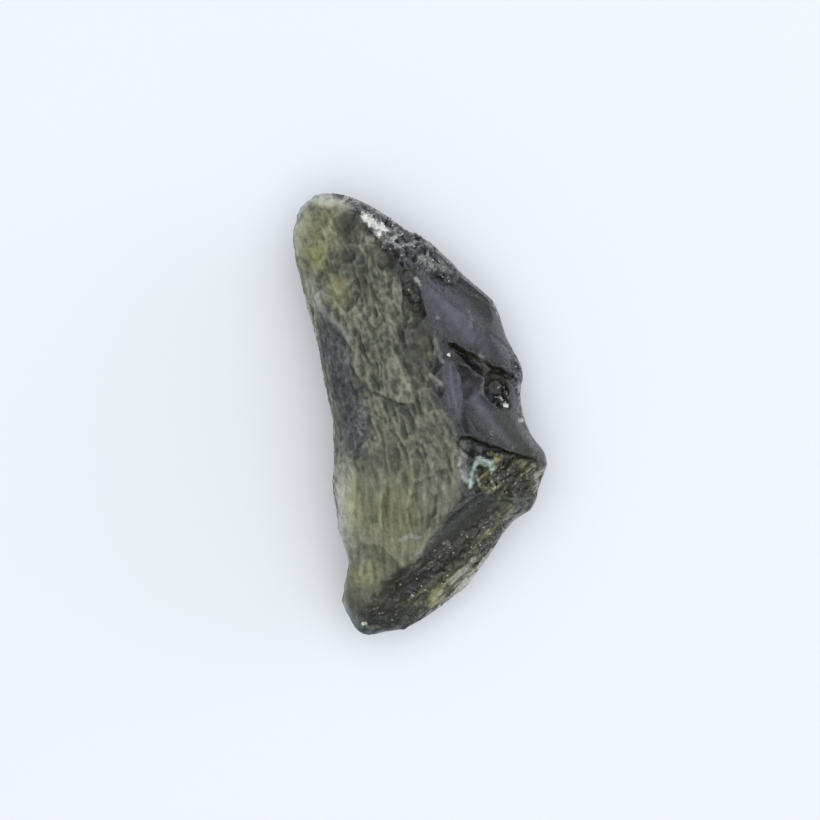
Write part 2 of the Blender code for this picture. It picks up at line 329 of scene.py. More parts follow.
def eased(low, high, values):
    """0 at low, 1 at high, smooth between: the array form of a smooth step."""
    t = np.clip((values - low) / (high - low), 0.0, 1.0)
    return t * t * (3 - 2 * t)


def noise_at(points, size, seed=0.0):
    """Soft noise from about -1 to 1. size is the width of its blobs, and seed picks another pattern."""
    scaled = points / np.asarray(size, float) + seed
    return np.array([noise.noise(Vector(p)) for p in scaled])


def east_of_crest(points):
    """How far each point lies east of the crest, in millimetres."""
    return points[:, 0] - np.interp(points[:, 1], CREST_Y, CREST_X)


def broken_share(points, normals):
    """1 on the breaks and 0 on the skin."""
    wander = BORDER_WANDER * noise_at(points, 0.9, 3.0) + BORDER_WANDER * noise_at(points, 0.3, 4.0)
    top = eased(BORDER_FROM, BORDER_TO, east_of_crest(points) + wander)
    under = UNDERSIDE_BROKEN * eased(-0.1, -0.5, normals[:, 2])
    return np.maximum(top * eased(-0.6, -0.2, normals[:, 2]), under)


def smoothed(piece, rounds, weights):
    """Smooths a piece, each point by its weight."""
    group = piece.vertex_groups.new(name="smoothing")
    for step in np.unique(np.round(weights, 1)):
        chosen = np.nonzero(np.round(weights, 1) == step)[0].tolist()
        group.add(chosen, float(step), "REPLACE")
    soft = piece.modifiers.new("soft", "SMOOTH")
    soft.factor = 0.5
    soft.iterations = rounds
    soft.vertex_group = group.name
    baked(piece)
    piece.vertex_groups.clear()


points = points_of(stone.data)
broken = broken_share(points, points_of(stone.data, "normal"))
smoothed(stone, SKIN_SMOOTHING, 1.0 - (1.0 - BREAK_SMOOTHING / SKIN_SMOOTHING) * broken)
print("broken share of all points:", round(float(broken.mean()), 3))

# %% [markdown]
# ## Shell-shaped breaks
#
# Glass breaks along smooth, slightly dished faces that meet in sharp edges. The solid has each of
# them, but softened by its coarse faces, so they are pressed in again, a little deeper and clean.
# A point that lies inside a dish's ellipsoid moves against the dish's own axis until it lies on
# the ellipsoid. Faint ribs run round the end where the blow fell.

# %% Press the breaks in
# Each: middle (x, y), (length, width, depth), compass heading, lean (east, north), steepness,
# and the height of its ribs
BREAKS = {
    "north_face": ((2.9, 8.0), (9.6, 3.5, 0.5), 122, (0.85, 0.85), 0.1, 0.004),
    "north_blade": ((3.2, 5.6), (9.2, 3.8, 0.55), 128, (0.7, 0.4), 0.1, 0.004),
    "middle_blade": ((5.5, -0.6), (7.0, 3.0, 0.5), 130, (0.52, 0.14), 0.12, 0.004),
    "narrow_blade": ((2.35, 1.8), (5.0, 1.6, 0.42), 172, (0.8, 0.12), 0.22, 0.003),
    "blade_root": ((1.2, 2.1), (2.2, 1.0, 0.28), 150, (0.3, 0.1), 0.25, 0.0),
    "dark_wedge": ((2.6, 3.9), (2.6, 1.0, 0.55), 122, (0.2, -0.35), 0.35, 0.0),
    "blade_pit": ((1.3, 1.75), (1.3, 1.0, 0.3), 170, (0.3, 0.1), 0.3, 0.0),
    "deep_hollow": ((5.3, 1.5), (2.3, 1.5, 0.45), 140, (0.3, 0.1), 0.35, 0.0),
    "south_blade": ((2.4, -7.9), (8.6, 2.9, 0.45), 50, (0.6, -0.6), 0.1, 0.006),
    "crest_scallop": ((-0.2, 4.5), (3.9, 1.4, 0.16), 8, (0.1, 0.0), 0.2, 0.0),
    "lobe_cup": ((-5.1, 12.9), (2.0, 1.8, 0.38), 0, (-0.1, 0.2), 0.3, 0.0),
    "lobe_west_cup": ((-7.0, 10.8), (1.4, 1.7, 0.2), 10, (-0.5, 0.1), 0.3, 0.0),
    "lobe_south_cup": ((-4.9, 10.7), (1.9, 1.4, 0.32), 35, (0.0, 0.0), 0.3, 0.0),
    "lobe_elbow_cup": ((-2.6, 10.5), (1.8, 1.1, 0.26), 160, (0.2, 0.0), 0.25, 0.0),
}
ABOVE_THE_STONE = 30.0
RIB_PACE, RIB_UNEVEN, RIB_UNEVEN_PACE = 9.0, 2.0, 2.3
MOVED_DEPTHS, MOVED_MARGIN = 3.0, 1.0


def press_dish(points, middle, size, heading, lean, steepness, ribs):
    """Moves the points inside a dish out onto its face."""
    length, width, depth = size
    hit = solid_bvh.ray_cast(Vector((*middle, ABOVE_THE_STONE)), Vector((0, 0, -1)))[0]
    outwards = Vector((*lean, 1.0)).normalized()
    angle = math.radians(heading)
    lengthwise = Vector((math.sin(angle), math.cos(angle), 0.0))
    lengthwise = (lengthwise - outwards * lengthwise.dot(outwards)).normalized()
    sideways = outwards.cross(lengthwise)
    cap_share = math.sqrt(1 - (1 - steepness) ** 2)
    reach = depth / steepness
    half = np.array([length / 2 / cap_share, width / 2 / cap_share, reach])
    centre = np.array(hit + outwards * (reach - depth))
    axes = np.array([lengthwise, sideways, outwards])
    local = (points - centre) @ axes.T
    across = 1.0 - (local[:, 0] / half[0]) ** 2 - (local[:, 1] / half[1]) ** 2
    floor = -reach * np.sqrt(np.clip(across, 0.0, None))
    from_blow = np.hypot(local[:, 0] + length / 2, local[:, 1])
    uneven = RIB_UNEVEN * np.sin(from_blow * RIB_UNEVEN_PACE)
    floor = floor + ribs * np.sin(from_blow * RIB_PACE + uneven)
    ceiling = floor + MOVED_DEPTHS * depth + MOVED_MARGIN
    inside = (across > 0) & (local[:, 2] > floor) & (local[:, 2] < ceiling)
    moved = points.copy()
    moved[inside] += np.outer(floor[inside] - local[inside, 2], axes[2])
    return moved, int(inside.sum())


points = points_of(stone.data)
for name, dish in BREAKS.items():
    points, count = press_dish(points, *dish)
    print(name, "moved", count, "points")
put_points(stone.data, points)

# %% [markdown]
# ## Ledges
#
# Between the breaks the surface drops by sharp little steps. Each ledge is a line along the top of
# the step. The ground to the right of the line, as one walks along it, drops at once and then
# climbs back gently. With a drop below zero, the ground to the left sinks instead. The drop fades
# out towards both ends of the line.

# %% Cut the ledges
# Each: the line's points (x, y), the drop, and how far the low ground reaches
LEDGES = {
    "under_north_blade": (((1.0, 5.0), (2.3, 4.7), (3.4, 4.1), (4.8, 3.3), (6.9, 2.3)), 0.85, 0.75),
    "north_divide": (((0.8, 8.7), (2.2, 7.6), (3.5, 6.4), (5.2, 5.1), (7.0, 3.9)), 0.16, 0.6),
    "north_divide_upper": (((0.6, 9.6), (2.6, 8.7), (4.2, 7.6), (5.6, 6.6)), 0.12, 0.4),
    "under_middle_blade": (((2.6, -1.3), (4.0, -1.9), (5.6, -2.4), (7.2, -2.8), (8.4, -3.1)), 0.6, 0.7),
    "blade_east_step": (((2.4, -0.4), (2.8, 0.9), (2.8, 2.4), (2.1, 4.1)), 0.55, 0.34),
    "hollow_west_wall": (((3.9, 3.9), (4.5, 2.6), (4.3, 1.2)), -0.3, 0.35),
    "crest_north": (((-1.6, 10.0), (-1.2, 8.6), (-1.1, 7.2), (-0.9, 6.2)), -0.35, 0.6),
    "scallop_east": (((0.5, 6.4), (1.0, 5.2), (1.0, 3.8), (0.7, 2.7)), -0.25, 0.5),
    "scallop_west": (((-0.7, 6.8), (-1.1, 5.6), (-0.95, 3.6), (-0.4, 2.4)), 0.32, 0.4),
    "rubble_foot": (((-3.8, 11.4), (-2.2, 11.3), (-0.9, 11.5), (0.6, 11.2)), -0.3, 0.4),
    "south_ridge": (((8.1, -5.7), (6.4, -5.8), (4.6, -5.7), (3.2, -6.1)), -0.28, 0.5),
    "slope_step": (((5.6, -6.0), (4.0, -8.0), (1.8, -9.8), (-0.6, -10.8), (-3.0, -11.8)), -0.3, 0.5),
    "rim_step": (((6.4, -6.6), (4.6, -8.9), (2.6, -10.8), (0.4, -12.4)), -0.25, 0.4),
    "skin_step": (((2.2, -3.3), (0.9, -3.8), (-0.2, -4.4), (-0.8, -5.2)), -0.12, 0.45),
    "skin_step_west": (((-2.6, -0.8), (-3.2, -1.8), (-3.8, -3.0), (-4.3, -4.2)), 0.12, 0.6),
    "flank_ridge": (((-6.9, 7.2), (-5.6, 5.8), (-4.7, 4.6), (-4.3, 2.6), (-3.2, 1.6), (-1.6, 0.8),
                     (0.4, 0.7)), 0.22, 0.8),
    "skin_wrinkle": (((-4.1, 5.6), (-3.4, 4.0), (-2.7, 2.6), (-1.9, 1.4)), 0.12, 0.5),
    "skin_wrinkle_east": (((-2.2, 5.9), (-1.9, 4.2), (-1.5, 2.8), (-0.8, 1.6)), 0.12, 0.5),
    "flank_wrinkle": (((-5.6, 1.9), (-5.0, 0.4), (-4.5, -1.4)), 0.12, 0.5),
    "flank_wrinkle_east": (((-3.3, 0.4), (-3.6, -0.9), (-4.3, -2.4)), -0.14, 0.5),
    "skin_lens_east": (((1.2, -4.9), (1.0, -6.4), (0.2, -7.9)), 0.22, 0.55),
    "skin_lens_west": (((-0.4, -4.8), (-0.9, -6.3), (-0.6, -7.8)), -0.22, 0.55),
    "skin_lens_far": (((-2.2, -4.2), (-2.6, -6.0), (-2.4, -7.9)), -0.18, 0.6),
    "lobe_skirt": (((-6.4, 8.6), (-5.4, 8.0), (-4.6, 8.6), (-3.8, 9.4)), 0.16, 0.4),
}
LEDGE_EDGE = 0.07
LEDGE_WANDER = 0.14
FULL_FROM, FULL_TO = 0.22, 0.78
CROSSING_SHARE = 0.3


def cut_ledge(points, normals, line, drop, reach):
    """How far each point sinks below a ledge."""
    side = 1.0 if drop > 0 else -1.0
    line = np.array(line, float)
    nearest = np.full(len(points), 1e9)
    across = np.zeros(len(points))
    along = np.zeros(len(points))
    lengths = np.hypot(*np.diff(line, axis=0).T)
    begun = 0.0
    for start_point, end_point, length in zip(line[:-1], line[1:], lengths):
        way = (end_point - start_point) / length
        from_start = points[:, :2] - start_point
        t = np.clip(from_start @ way, 0.0, length)
        off = from_start - np.outer(t, way)
        away = np.hypot(*off.T)
        closer = away < nearest
        nearest[closer] = away[closer]
        signed = side * (off[:, 0] * way[1] - off[:, 1] * way[0])
        across[closer] = np.sign(signed[closer]) * away[closer]
        along[closer] = (begun + t[closer]) / lengths.sum()
        begun += length
    ends = eased(0.0, FULL_FROM, along) * eased(1.0, FULL_TO, along)
    near = (nearest < 4 * reach) & (normals[:, 2] > -0.3)
    across[near] += LEDGE_WANDER * noise_at(points[near], 0.7, 21.0)
    sunk = eased(-LEDGE_EDGE, LEDGE_EDGE, across) * np.exp(-np.clip(across, 0.0, None) / reach)
    return np.where(near, abs(drop) * ends * sunk, 0.0)


points, normals = points_of(stone.data), points_of(stone.data, "normal")
total = np.zeros(len(points))
for name, ledge in LEDGES.items():
    sunk = cut_ledge(points, normals, *ledge)
    total = np.maximum(total, sunk) + CROSSING_SHARE * np.minimum(total, sunk)
    print(name, "sinks", int((sunk > 0.05).sum()), "points")
halfway_up = normals * 0.5 + np.array([0.0, 0.0, 0.5])
put_points(stone.data, points - halfway_up * total[:, None])

# %% [markdown]
# ## The fine surface
#
# Soil acid ate the skin into long shallow pits with sharp ridges between them. Each pit is the bowl
# round one point of a Voronoi pattern that has been stretched lengthwise: deepest at its point, and
# sharp where two bowls meet. The pits lean more in the west than beside the crest. The south half
# is worn smoother and shows fine flow lines instead, and the south lobe has arcs round one spot.
# Where the glass broke to rubble, every cell is a small flat face at its own tilt, and on the south
# slope long flakes came off, each a stretched bowl.

# %% The tools for pits, rubble and places
SECOND_GRID = 0.075
PIT_LEAN_WEST = math.radians(24)
PIT_LEAN_CREST = math.radians(12)
FLAKE_LEAN = math.radians(-52)
CREST_LEAN_MIDDLE, CREST_LEAN_RADIUS = (-1.0, 0.6), 3.6
BOWL_STEEPNESS, RIDGE_STEEPNESS = 1.35, 2.2
RUBBLE_BEND, PLACE_RAGGED = 0.22, 0.35


def turned(points, lean):
    """The points, turned so that a pattern which leans lies straight."""
    c, s = math.cos(lean), math.sin(lean)
    return points @ np.array([[c, -s, 0], [s, c, 0], [0, 0, 1]])


def bowls_at(points, lean, size, seed, bend=0.8):
    """Voronoi bowls: 1 in the middle of a pit, 0 on the ridges. bend makes their shapes uneven."""
    cells = turned(points, lean) / np.array(size) + seed
    depth = np.empty(len(cells))
    for i, cell in enumerate(cells):
        place = Vector(cell)
        bent = place + bend * noise.noise_vector(place * 0.9)
        nearest = noise.voronoi(bent)[0][0]
        depth[i] = 1.0 - BOWL_STEEPNESS * nearest * nearest
    return np.clip(depth, 0.0, 1.0)


def waves_at(points, lean, size, seed):
    """Long wavy ridges: 1 on the ridge lines, less beside them."""
    cells = turned(points, lean) / np.array(size) + seed
    height = np.empty(len(points))
    for i, place in enumerate(map(Vector, cells)):
        bent = place + 0.6 * noise.noise_vector(place * 0.8)
        height[i] = 1.0 - RIDGE_STEEPNESS * abs(noise.noise(bent))
    return height


def rubble_at(points, size, seed):
    """Small flat faces at random tilts: the height of each point, in millimetres."""
    height = np.empty(len(points))
    for i, cell in enumerate(points / size + seed):
        place = Vector(cell)
        place += RUBBLE_BEND * noise.noise_vector(place * 1.3)
        middle = noise.voronoi(place)[1][0]
        tilt = noise.cell_vector(middle * 7.31)
        height[i] = (place - middle).dot(tilt) + 0.5 * tilt.z
    return height * size


def places_share(points, places, soft=0.3):
    """1 inside ragged ovals seen from above, 0 outside. Each: middle, half sizes, heading, amount."""
    share = np.zeros(len(points))
    for middle, half, heading, amount in places.values():
        angle = math.radians(heading)
        away = points[:, :2] - np.array(middle)
        along = away @ np.array([math.sin(angle), math.cos(angle)]) / half[0]
        across = away @ np.array([math.cos(angle), -math.sin(angle)]) / half[1]
        inner = 1.0 - np.hypot(along, across)
        close = inner > -0.6
        inner[close] += PLACE_RAGGED * noise_at(points[close], 0.6, 31.0)
        share = np.maximum(share, amount * eased(0.0, soft, inner))
    return share


def streak_share(points, streaks):
    """1 on thin ragged lines seen from above. Each: the line's points, its half width, its amount."""
    share = np.zeros(len(points))
    for line, half_width, amount in streaks.values():
        line = np.array(line, float)
        nearest = np.full(len(points), 1e9)
        for start_point, end_point in zip(line[:-1], line[1:]):
            way = end_point - start_point
            from_start = points[:, :2] - start_point
            t = np.clip(from_start @ way / (way @ way), 0.0, 1.0)
            nearest = np.minimum(nearest, np.hypot(*(from_start - np.outer(t, way)).T))
        close = nearest < 3 * half_width
        ragged = 0.75 * noise_at(points[close], 0.22, 41.0)
        ragged += 0.5 * noise_at(points[close], 0.55, 43.0)
        nearest[close] += half_width * ragged
        share = np.maximum(share, amount * eased(1.35 * half_width, 0.35 * half_width, nearest))
    return share


# %% [markdown]
# ## Named places
#
# Everything that has its own spot on this stone is named here, in millimetres: the rubble of the
# broken side, the dark glass with painted shade, the west flank with painted shade, the thin rims
# painted pale with the light that comes through them, the chips of fresh fracture with painted
# highlights, the breaks with a painted satin sheen, and the spots with a painted yellow or amber glow
# of the light that comes through the thin glass.

# %% Where the rubble, chips and glows are
# Each: middle (x, y), (half length, half width), compass heading, amount. A streak has the points
# of its line instead, then its half width and amount
RUBBLE = {
    "north_rubble": ((-0.9, 11.6), (4.3, 1.6), 128, 1.0),
    "elbow_hollow": ((5.6, -4.1), (3.1, 1.7), 100, 0.9),
    "south_slope": ((1.8, -10.2), (6.8, 1.9), 50, 0.55),
    "south_rim": ((2.9, -10.9), (6.4, 1.2), 48, 0.65),
    "south_tip": ((-2.6, -13.4), (2.6, 1.1), 80, 0.6),
    "east_edge": ((6.6, 2.2), (3.8, 0.5), 172, 0.5),
    "deep_hollow": ((5.3, 1.4), (1.3, 0.8), 140, 0.9),
    "valley": ((-0.6, 8.4), (1.7, 0.6), 170, 0.35),
    "north_slope": ((1.0, 9.9), (2.4, 0.9), 125, 0.5),
}
# Dark glass and painted shade: the colour is darkened here, in wedges, hollows, cups and under blades, where
# shade falls.
DARK_GLASS_AND_SHADE = {
    "wedge": ((2.8, 3.6), (2.2, 1.05), 126, 1.0),
    "wedge_east": ((5.2, 2.9), (2.1, 0.42), 115, 0.9),
    "hollow": ((5.2, 1.6), (1.3, 0.8), 140, 0.9),
    "valley": ((-0.6, 8.0), (2.4, 0.85), 168, 0.7),
    "under_blade": ((5.0, -2.3), (3.2, 0.3), 108, 0.9),
    "slope": ((-0.6, -11.3), (2.9, 1.0), 58, 1.0),
    "slope_east": ((2.2, -9.6), (3.0, 0.75), 46, 0.85),
    "tip": ((-2.6, -13.7), (3.0, 1.2), 84, 1.0),
    "tip_west": ((-4.3, -13.4), (1.5, 1.0), 150, 0.7),
    "rubble": ((-2.4, 10.7), (1.3, 0.7), 110, 0.5),
    "elbow": ((7.6, -3.1), (1.2, 0.3), 110, 0.8),
    "elbow_west": ((3.0, -1.2), (0.9, 0.8), 160, 0.6),
    "skin_east": ((-0.7, -0.3), (1.6, 0.5), 20, 0.35),
    "skin_middle": ((-3.0, -3.0), (2.0, 0.7), 40, 0.45),
    "scallop": ((-1.15, 4.8), (2.6, 0.55), 175, 0.85),
    "scallop_shade": ((-0.2, 4.6), (2.7, 1.4), 8, 0.92),
    "blade_root": ((0.9, 1.4), (1.2, 0.5), 120, 0.5),
    "blade_east": ((3.15, 1.7), (2.7, 0.42), 172, 1.0),
    "valley_foot": ((0.1, 6.0), (1.1, 0.9), 150, 0.55),
    "blade_west": ((1.3, 1.75), (0.75, 0.5), 165, 1.0),
    "north_divide": ((5.6, 5.2), (1.9, 0.22), 128, 0.5),
    "rim": ((5.0, -8.6), (1.9, 0.5), 40, 0.5),
    "lobe_cup": ((-4.95, 12.75), (1.25, 1.1), 0, 0.75),
    "lobe_south": ((-4.9, 10.7), (1.3, 0.9), 35, 0.6),
    "lobe_elbow": ((-2.6, 10.5), (1.2, 0.8), 160, 0.6),
    "lobe_east": ((-3.9, 9.0), (1.6, 0.7), 150, 0.3),
    "hollow_corner": ((3.4, -1.9), (0.9, 0.5), 60, 0.5),
    "slope_low": ((-1.6, -12.4), (1.9, 0.6), 65, 0.6),
}
# Painted shade: the skin of the west flank is coloured darker and bluer.
FLANK_SHADE = {
    "west_flank": ((-5.4, 3.1), (4.6, 1.35), 163, 1.0),
    "west_flank_low": ((-4.3, -0.7), (3.3, 1.5), 172, 0.95),
    "west_flank_high": ((-6.1, 5.6), (2.2, 0.8), 160, 0.8),
}
# Painted light: these thin rims are coloured pale, as light comes through them.
LIT_THIN_RIMS = {
    "low_west_rim": ((-5.2, -5.9), (4.8, 1.3), 177, 1.0),
    "elbow_rim": ((8.0, -3.9), (2.0, 0.8), 165, 1.0),
    "south_rim_bright": ((3.3, -10.9), (3.6, 1.0), 42, 1.0),
    "lobe_rim": ((-8.2, 11.9), (3.2, 0.9), 15, 0.7),
    "lobe_crown": ((-5.4, 14.4), (3.2, 0.95), 98, 1.0),
    "lobe_foot_rim": ((-7.1, 8.2), (2.4, 0.8), 160, 0.45),
    "north_edge": ((-2.4, 13.7), (3.0, 0.6), 120, 0.6),
    "tip_rim": ((-1.6, -14.6), (3.4, 0.45), 82, 0.6),
    "tip_rim_west": ((-5.0, -13.2), (2.0, 0.4), 160, 0.5),
}
# Chips of fresh fracture with painted highlights: they sink a little, and are coloured nearly white, mint or
# straw.
CHIPS_AND_HIGHLIGHTS = {
    "white_chip": (((-3.7, 13.2), (-3.1, 12.8), (-2.5, 12.4)), 0.36, 1.0),
    "flank_crest": (((-6.9, 7.4), (-6.1, 6.6), (-5.3, 5.6), (-4.7, 5.0)), 0.22, 0.15),
    "white_chip_tail": (((-2.6, 12.6), (-2.7, 11.9)), 0.24, 0.9),
    "mint_streak": (((3.25, -4.7), (3.45, -3.7), (3.9, -2.95), (4.5, -3.1), (4.8, -3.6)), 0.22, 0.85),
    "mint_cap": (((3.9, -3.0), (4.4, -3.2)), 0.3, 0.75),
    "mint_drop": (((3.7, -4.1), (3.9, -4.5)), 0.12, 0.6),
    "pale_band": (((2.9, -1.9), (2.75, -3.0), (3.0, -4.1)), 0.34, 0.55),
    "east_band": (((4.0, 4.0), (4.35, 2.9), (4.1, 1.5)), 0.2, 0.28),
    "lilac_line": (((3.3, 7.0), (3.45, 6.3), (3.4, 5.8)), 0.1, 0.32),
    "crystal_glint": (((-0.25, 9.0), (-0.05, 8.55)), 0.16, 0.65),
    "scallop_band": (((1.05, 4.9), (1.2, 4.1), (1.45, 3.4)), 0.16, 0.35),
    "blade_root_glint": (((0.7, 2.6), (1.3, 2.0)), 0.2, 0.5),
    "wedge_glint": (((1.85, 3.95), (1.95, 3.9)), 0.14, 1.0),
    "facet_dot": (((1.1, 6.4), (1.2, 6.4)), 0.13, 0.5),
    "lower_facet_dot": (((4.65, -1.2), (4.8, -1.2)), 0.15, 0.4),
    "hollow_glint": (((5.7, 0.65), (5.8, 0.6)), 0.15, 1.0),
    "hollow_glint_north": (((5.4, 1.1), (5.5, 1.0)), 0.1, 0.8),
    "east_edge_glint": (((6.7, -0.4), (6.9, -0.4)), 0.16, 0.8),
    "elbow_line": (((4.3, -5.7), (5.6, -5.75), (7.6, -5.65)), 0.12, 0.25),
    "skin_crescent": (((-1.3, -8.3), (-0.7, -8.0), (-0.1, -8.15)), 0.16, 0.22),
    "rim_slope": (((3.7, -9.7), (2.9, -10.6), (2.1, -11.4)), 0.16, 0.5),
    "rim_slope_low": (((1.5, -11.9), (0.9, -12.5)), 0.14, 0.45),
    "rim_slope_outer": (((4.9, -9.3), (4.0, -10.5), (3.0, -11.6)), 0.2, 0.5),
    "rim_slope_high": (((6.6, -6.9), (5.9, -7.7), (5.0, -8.8)), 0.1, 0.35),
    "rubble_line": (((-2.6, 11.6), (-2.0, 11.5), (-1.3, 11.2)), 0.14, 0.4),
    "rubble_line_east": (((-0.8, 11.4), (-0.2, 11.7), (0.5, 11.5)), 0.12, 0.4),
    "rubble_line_low": (((-2.6, 12.1), (-1.9, 11.7), (-1.2, 12.2)), 0.11, 0.5),
    "rubble_patch": (((0.2, 10.4), (0.9, 10.0)), 0.35, 0.3),
    "rubble_patch_east": (((1.5, 10.0), (2.0, 9.7)), 0.3, 0.3),
    "lobe_rim_gleam": (((-6.6, 14.2), (-5.4, 14.35), (-4.5, 13.8)), 0.2, 0.35),
    "tip_glint": (((-3.9, -14.2), (-3.7, -14.2)), 0.16, 0.9),
}
# Painted sheen: these breaks get more of the lilac haze, a painted reflection of the low light.
PAINTED_SHEENS = {
    "narrow_blade": ((2.15, 1.9), (2.5, 0.66), 172, 1.0),
    "north_facet": ((2.3, 6.8), (2.9, 1.35), 137, 0.75),
    "north_blade": ((5.0, 4.4), (2.2, 0.7), 135, 0.3),
    "middle_blade": ((5.2, -0.9), (2.6, 1.0), 130, 0.45),
    "south_blade": ((2.9, -7.7), (3.4, 1.0), 50, 0.35),
}
# Painted glow: spots where light through the thin glass is coloured in, yellow here and amber in the next
# table.
YELLOW_GLOWS = {
    "lobe": ((-6.9, 10.7), (1.7, 1.2), 30, 0.85),
    "lobe_body": ((-6.7, 12.0), (3.6, 2.0), 15, 0.45),
    "lobe_rim": ((-7.9, 12.3), (1.9, 0.6), 12, 0.7),
    "lobe_top": ((-5.9, 14.1), (1.8, 0.55), 95, 0.9),
    "lobe_south": ((-5.5, 8.1), (1.7, 1.0), 170, 0.55),
    "low_west": ((-4.5, -6.0), (3.2, 1.0), 178, 0.7),
    "low_skin": ((-1.8, -7.0), (5.6, 3.4), 175, 0.3),
    "south_lobe": ((-3.6, -10.8), (1.8, 1.4), 40, 0.45),
    "hollow": ((5.2, -2.8), (1.0, 0.6), 100, 0.9),
    "hollow_east": ((7.1, -3.5), (0.9, 0.6), 130, 0.9),
    "hollow_low": ((4.4, -4.9), (1.2, 0.5), 100, 0.5),
    "rim": ((1.5, -11.9), (2.6, 0.7), 44, 1.0),
    "slope_middle": ((1.6, -10.3), (1.6, 0.5), 48, 0.6),
    "slope_low": ((-1.9, -12.0), (1.2, 0.4), 70, 0.5),
    "slope": ((5.8, -6.7), (1.6, 0.7), 50, 0.8),
    "slope_high": ((4.3, -8.2), (3.0, 0.7), 48, 0.55),
    "deep_hollow": ((5.0, 1.8), (0.6, 0.4), 130, 0.5),
    "scallop": ((0.2, 4.4), (1.7, 0.5), 5, 0.25),
}
AMBER_GLOWS = {
    "lobe": ((-5.2, 8.75), (1.3, 0.42), 75, 0.4),
    "hollow": ((4.2, -4.1), (0.9, 0.5), 70, 0.8),
    "slope": ((2.6, -9.1), (2.0, 0.55), 44, 0.8),
    "slope_low": ((0.3, -11.3), (2.2, 0.5), 48, 0.7),
    "hollow_east": ((6.2, -4.9), (1.2, 0.5), 100, 0.6),
    "tip": ((-2.6, -12.7), (1.5, 0.5), 100, 0.5),
}
print("places:", len(RUBBLE), "rubble,", len(DARK_GLASS_AND_SHADE), "dark,", len(LIT_THIN_RIMS), "pale,",
      len(CHIPS_AND_HIGHLIGHTS), "fresh,", len(YELLOW_GLOWS) + len(AMBER_GLOWS), "glowing")

# %% [markdown]
# First comes the skin. depth is how far each point will sink. Pits of three sizes, wavy ridges, a
# fine crust, and flow lines where the skin is worn all have a part in it.

# %% Pits, ridges and flow lines of the skin
PIT_SIZE, PIT_DEPTH = (0.5, 1.3, 0.75), 0.07
WAVE_SIZE, WAVE_DEPTH = (0.5, 1.8, 0.9), 0.11
LARGE_PIT_SIZE, LARGE_PIT_DEPTH = (1.3, 2.6, 1.5), 0.13
SMALL_PIT_SIZE, SMALL_PIT_DEPTH = (0.3, 0.46, 0.34), 0.04
PIT_FLOOR = 0.4
CRUST_SIZE, CRUST_DEPTH = 0.5, 0.085
FLOW_SIZE, FLOW_DEPTH = (0.34, 2.4, 0.7), 0.075
ARC_MIDDLE, ARC_LENGTH, ARC_DEPTH = (-4.2, -10.3), 0.62, 0.024
LOBE_MIDDLE, LOBE_RADIUS = (-5.8, 11.6), 4.2
CALMER_WHEN_WORN, CALMER_ELSEWHERE, CRUST_CALMER = 0.72, 0.55, 0.75

remeshed(stone, SECOND_GRID)
points, normals = points_of(stone.data), points_of(stone.data, "normal")
broken = broken_share(points, normals)
upper = eased(-0.5, 0.1, normals[:, 2])
worn = eased(-2.0, -5.0, points[:, 1]) * eased(-6.0, -5.0, points[:, 0])
on_lobe = eased(1.0, 0.6, np.hypot(*(points[:, :2] - LOBE_MIDDLE).T) / LOBE_RADIUS)
on_flank = places_share(points, FLANK_SHADE)
beside_crest = eased(1.0, 0.4, np.hypot(*(points[:, :2] - CREST_LEAN_MIDDLE).T) / CREST_LEAN_RADIUS)
west_pits = bowls_at(points, PIT_LEAN_WEST, PIT_SIZE, 5.0)
crest_pits = bowls_at(points, PIT_LEAN_CREST, PIT_SIZE, 5.0)
pits = west_pits + (crest_pits - west_pits) * beside_crest
large_pits = bowls_at(points, PIT_LEAN_WEST, LARGE_PIT_SIZE, 15.0)
small_pits = bowls_at(points, PIT_LEAN_WEST, SMALL_PIT_SIZE, 9.0)
waves = waves_at(points, PIT_LEAN_WEST + (PIT_LEAN_CREST - PIT_LEAN_WEST) * 0.5, WAVE_SIZE, 33.0)
crust = noise_at(points, CRUST_SIZE, 17.0) + 0.5 * noise_at(points, CRUST_SIZE / 2.2, 19.0)
uneven = np.clip(0.65 + 0.9 * noise_at(points, 1.7, 27.0), 0.15, 1.3)
skin = (1.0 - broken) * (0.4 + 0.6 * upper)
depth = uneven * (PIT_DEPTH * (pits - PIT_FLOOR) + SMALL_PIT_DEPTH * (small_pits - PIT_FLOOR))
depth -= WAVE_DEPTH * waves
depth += LARGE_PIT_DEPTH * (large_pits - PIT_FLOOR)
calmer = CALMER_ELSEWHERE * np.maximum(on_lobe, on_flank)
depth *= 1.0 - np.maximum(CALMER_WHEN_WORN * worn, calmer)
depth += CRUST_DEPTH * crust * (1.0 - CRUST_CALMER * worn)
depth += (0.15 + 0.85 * worn) * FLOW_DEPTH * noise_at(points, FLOW_SIZE, 2.0)
depth *= skin

away = points[:, :2] - ARC_MIDDLE
from_middle = np.hypot(*(away * (1.0, 1.3)).T) + 0.5 * noise_at(points, 1.3, 51.0)
open_side = eased(-0.3, 0.5, (away[:, 0] - 0.6 * away[:, 1]) / np.maximum(from_middle, 0.01))
arcs = np.cos(2 * math.pi * from_middle / ARC_LENGTH) * eased(2.2, 1.0, from_middle) * open_side
depth += skin * ARC_DEPTH * arcs
print("points", len(points), "pits of the skin go", round(float(depth.max()), 3), "mm deep")

# %% [markdown]
# Then the crumbled glass. The rubble of the north has the tallest grains. In the south they are
# lower, and flakes lie under them. Where a fresh chip lies, the surface is sunk a little and rough.
# The flat spot under the stone keeps its place on the table.

# %% Rubble, flakes and chips
RUBBLE_SIZES = ((1.1, 0.4), (0.5, 0.38))
FLAKE_SIZE, FLAKE_DEPTH = (0.75, 2.2, 1.1), 0.6
CHIP_DEPTH, CHIP_GRAIN = 0.08, 0.3
TABLE_GAP, SPARED_HEIGHT = 0.03, 0.35

